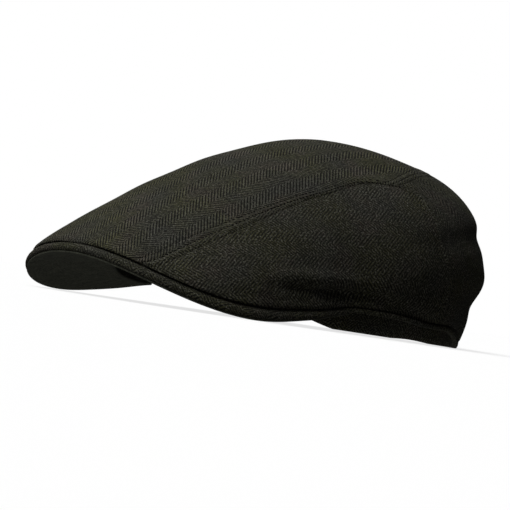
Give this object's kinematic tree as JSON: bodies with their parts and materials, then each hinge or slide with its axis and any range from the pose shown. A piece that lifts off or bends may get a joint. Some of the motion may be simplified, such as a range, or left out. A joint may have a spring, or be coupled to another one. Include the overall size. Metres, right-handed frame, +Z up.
{
  "type": "flat cap",
  "caption": "Soft herringbone flat cap with a low puffed crown, a bent peak with a narrow lip, and a turned hem round an open head hollow.",
  "frame": {"origin": "below the middle of the cap, on the surface that it rests on", "axes": "+Z up, -Y towards the front of the peak, +X towards the wearer's left"},
  "size_m": [0.1796, 0.2538, 0.1005],
  "materials": {
    "herringbone_cloth": "matt woven herringbone in dark olive and charcoal",
    "plain_cloth": "matt plain dark cloth"
  },
  "bodies": {
    "root": {"top_panel": "herringbone_cloth", "side_panel_left": "herringbone_cloth", "side_panel_right": "herringbone_cloth", "back_panel": "herringbone_cloth", "peak": "herringbone_cloth", "hem_band": "herringbone_cloth", "peak_underside": "plain_cloth"}
  },
  "joints": []
}
